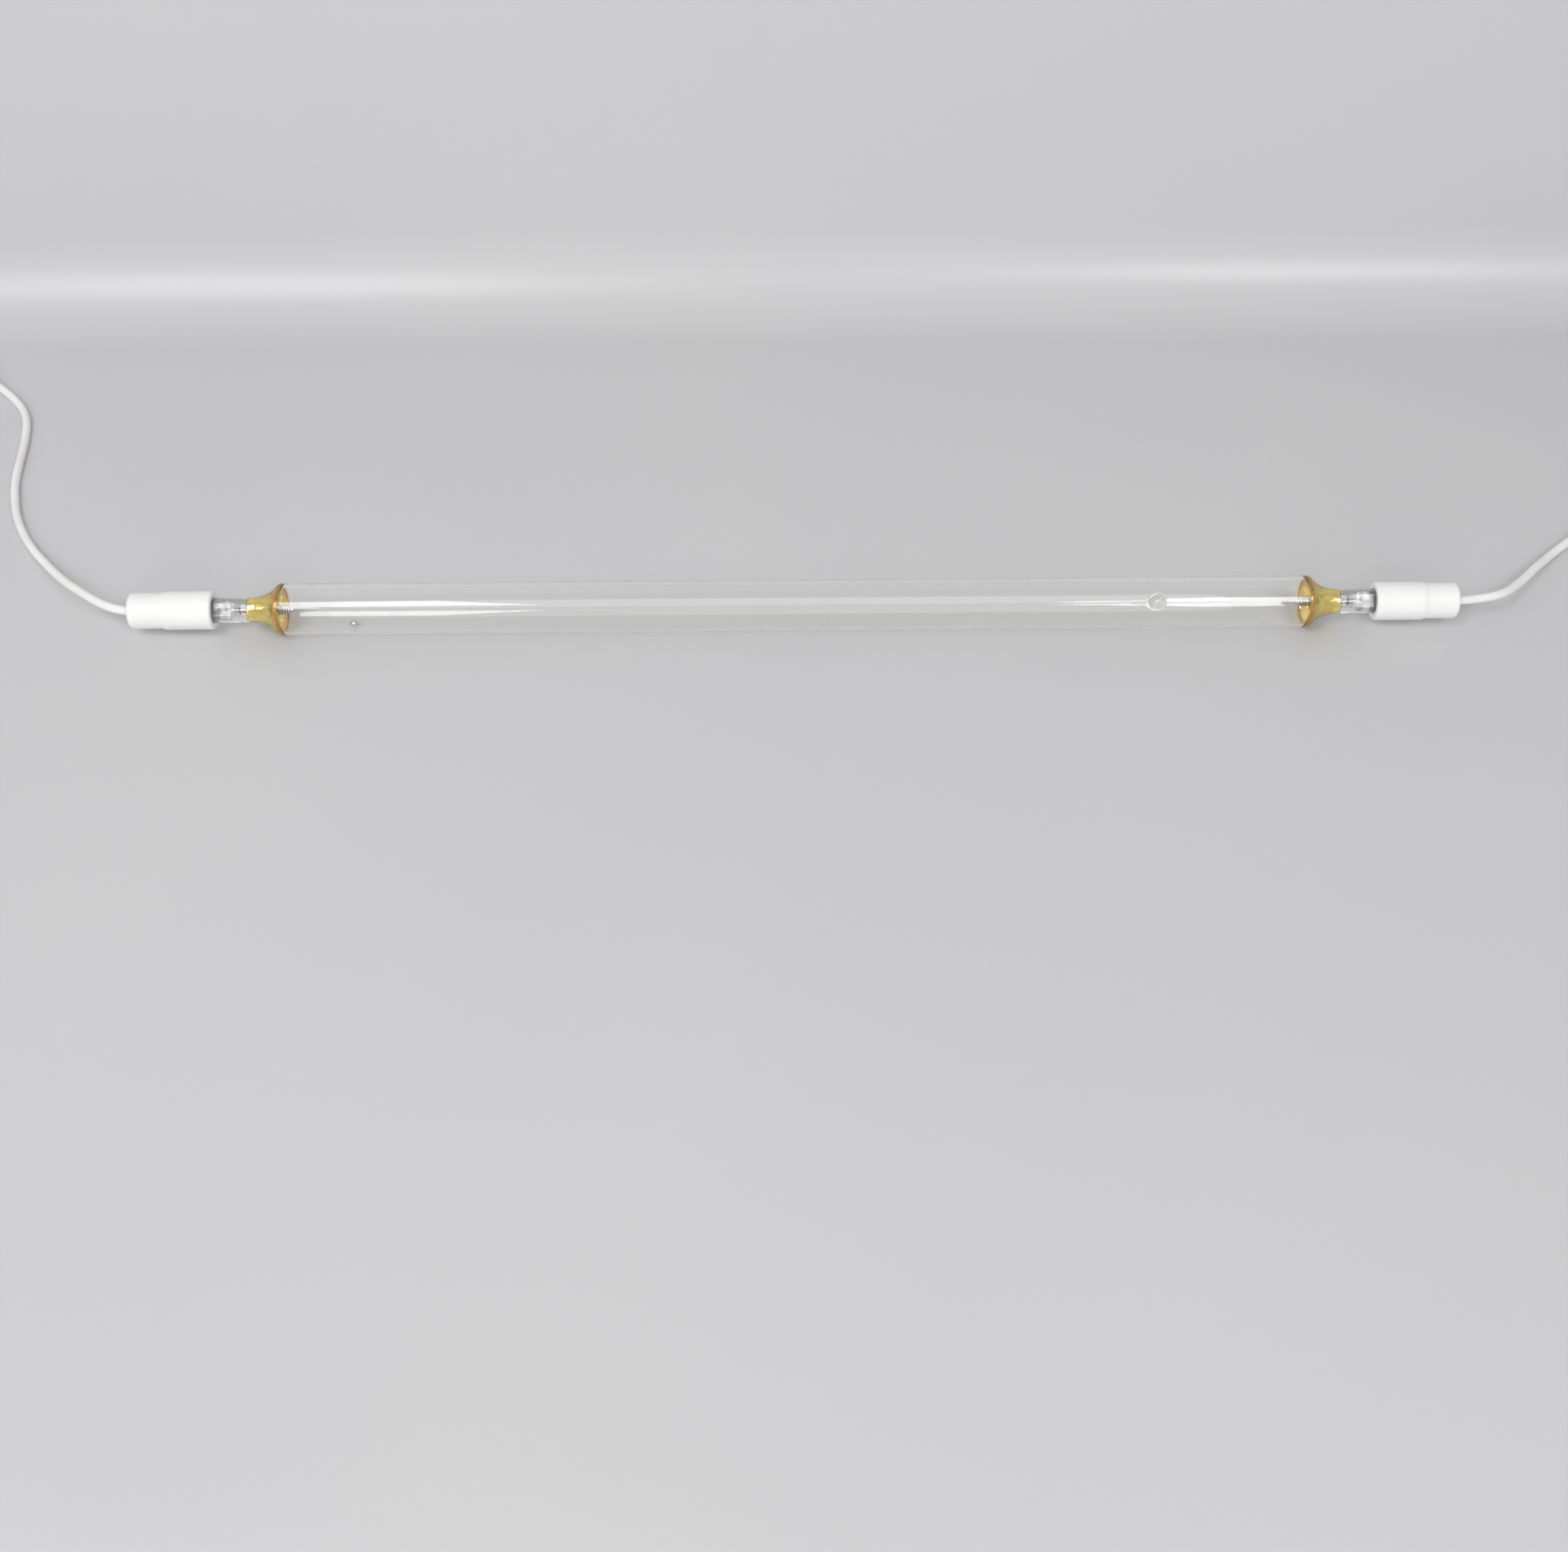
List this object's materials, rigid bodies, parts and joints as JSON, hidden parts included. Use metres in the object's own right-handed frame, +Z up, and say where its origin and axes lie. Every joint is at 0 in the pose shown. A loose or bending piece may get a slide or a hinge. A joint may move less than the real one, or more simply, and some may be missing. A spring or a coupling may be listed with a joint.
{
  "type": "uv curing lamp",
  "caption": "Long clear quartz discharge tube with gilded flared shoulders, stepped white ceramic bases and an insulated lead at each end.",
  "frame": {"origin": "on the plane that the tube lies on, below the middle of the lamp", "axes": "+X along the lamp from left to right, +Y away from the front, +Z up"},
  "size_m": [0.8342, 0.2246, 0.022],
  "materials": {
    "clear_quartz": "clear polished fused quartz",
    "mercury": "liquid mirror",
    "gold_lustre": "fired gold lustre, slightly see-through",
    "tungsten": "sintered grey metal",
    "molybdenum": "bright rolled foil and drawn pin",
    "steatite": "matt white unglazed steatite",
    "cement": "rough grey-white cement",
    "nickel": "plated and crimped",
    "conductor": "tinned copper strands",
    "lead_insulation": "white braided glass fibre over silicone",
    "tie_nylon": "natural nylon",
    "sleeve": "white heat-proof sleeve"
  },
  "bodies": {
    "root": {"quartz_envelope": "clear_quartz", "mercury_bead": "mercury", "gold_coat_left": "gold_lustre", "gold_coat_right": "gold_lustre", "electrode_rod_left": "tungsten", "electrode_rod_right": "tungsten", "electrode_winding_left": "tungsten", "electrode_winding_right": "tungsten", "sealing_foil_left": "molybdenum", "sealing_foil_right": "molybdenum", "lead_pin_left": "molybdenum", "lead_pin_right": "molybdenum", "ceramic_base_left": "steatite", "ceramic_base_right": "steatite", "cement_left": "cement", "cement_right": "cement", "crimp_splice_left": "nickel", "crimp_splice_right": "nickel", "stripped_core_left": "conductor", "stripped_core_right": "conductor", "lead_wire_left": "lead_insulation", "lead_wire_right": "lead_insulation", "lead_coil_left": "lead_insulation", "lead_coil_right": "lead_insulation", "lead_tail_left": "lead_insulation", "lead_tail_right": "lead_insulation", "coil_tie_left": "tie_nylon", "coil_tie_right": "tie_nylon", "core_tip_left": "conductor", "core_tip_right": "conductor", "ring_terminal_left": "nickel", "ring_terminal_right": "nickel", "terminal_sleeve_left": "sleeve", "terminal_sleeve_right": "sleeve"}
  },
  "joints": []
}
